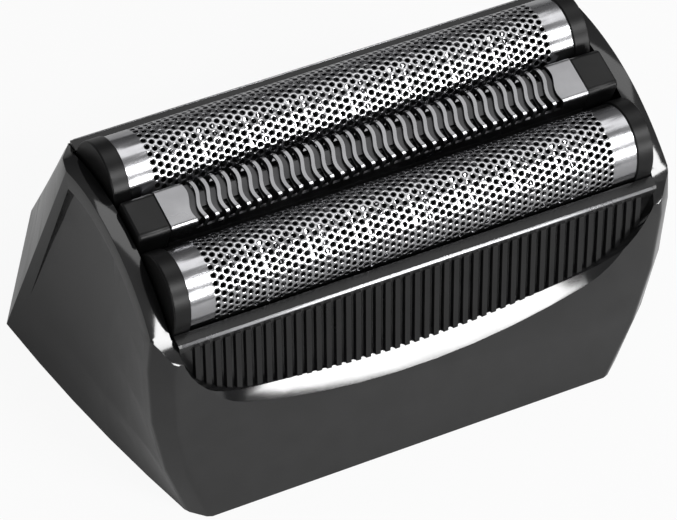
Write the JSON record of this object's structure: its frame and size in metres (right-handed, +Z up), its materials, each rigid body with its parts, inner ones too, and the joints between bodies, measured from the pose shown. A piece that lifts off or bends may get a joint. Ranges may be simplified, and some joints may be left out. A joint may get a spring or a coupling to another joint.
{
  "type": "foil shaver head",
  "caption": "Push-on foil shaver head with two floating foils, a slotted trimmer between them, sliding cutters underneath and a dark flared housing with ribbed panels.",
  "frame": {"origin": "middle of the bottom rim", "axes": "+X along the foils, +Y towards the back, +Z up to the foils"},
  "size_m": [0.0586, 0.036, 0.0254],
  "materials": {
    "shell": "gloss",
    "rib_panel": "satin",
    "cap_plastic": "satin",
    "frame_plastic": "matte",
    "foil_steel": "gloss",
    "comb_steel": "satin",
    "blade_steel": "satin",
    "spring_steel": "satin"
  },
  "bodies": {
    "housing": {"housing": "shell", "chassis": "frame_plastic", "front_rib_panel": "rib_panel", "rear_rib_panel": "rib_panel", "front_float_springs": "spring_steel", "trimmer_springs": "spring_steel", "rear_float_springs": "spring_steel"},
    "trimmer_unit": {"trimmer_comb": "comb_steel", "trimmer_frame": "frame_plastic", "trimmer_left_block": "cap_plastic", "trimmer_right_block": "cap_plastic"},
    "trimmer_cutter": {"trimmer_blade": "blade_steel", "trimmer_slider": "frame_plastic"},
    "front_foil_unit": {"front_foil": "foil_steel", "front_foil_frame": "frame_plastic", "front_left_cap": "cap_plastic", "front_right_cap": "cap_plastic"},
    "front_cutter": {"front_cutter_blades": "blade_steel", "front_cutter_bar": "frame_plastic"},
    "rear_foil_unit": {"rear_foil": "foil_steel", "rear_foil_frame": "frame_plastic", "rear_left_cap": "cap_plastic", "rear_right_cap": "cap_plastic"},
    "rear_cutter": {"rear_cutter_blades": "blade_steel", "rear_cutter_bar": "frame_plastic"}
  },
  "joints": [
    {"name": "front_float", "type": "slide", "parent": "housing", "child": "front_foil_unit", "axis": [0, 0, 1], "range_m": [-0.0015, 0], "stiffness_N_per_m": 400, "springref_m": 0.0008, "deforming": ["front_float_springs"]},
    {"name": "trimmer_float", "type": "slide", "parent": "housing", "child": "trimmer_unit", "axis": [0, 0, 1], "range_m": [-0.0015, 0], "stiffness_N_per_m": 400, "springref_m": 0.0008, "deforming": ["trimmer_springs"]},
    {"name": "rear_float", "type": "slide", "parent": "housing", "child": "rear_foil_unit", "axis": [0, 0, 1], "range_m": [-0.0015, 0], "stiffness_N_per_m": 400, "springref_m": 0.0008, "deforming": ["rear_float_springs"]},
    {"name": "front_cutter_slide", "type": "slide", "parent": "front_foil_unit", "child": "front_cutter", "axis": [1, 0, 0], "range_m": [-0.0012, 0.0012]},
    {"name": "trimmer_cutter_slide", "type": "slide", "parent": "trimmer_unit", "child": "trimmer_cutter", "axis": [1, 0, 0], "range_m": [-0.0012, 0.0012]},
    {"name": "rear_cutter_slide", "type": "slide", "parent": "rear_foil_unit", "child": "rear_cutter", "axis": [1, 0, 0], "range_m": [-0.0012, 0.0012]}
  ]
}
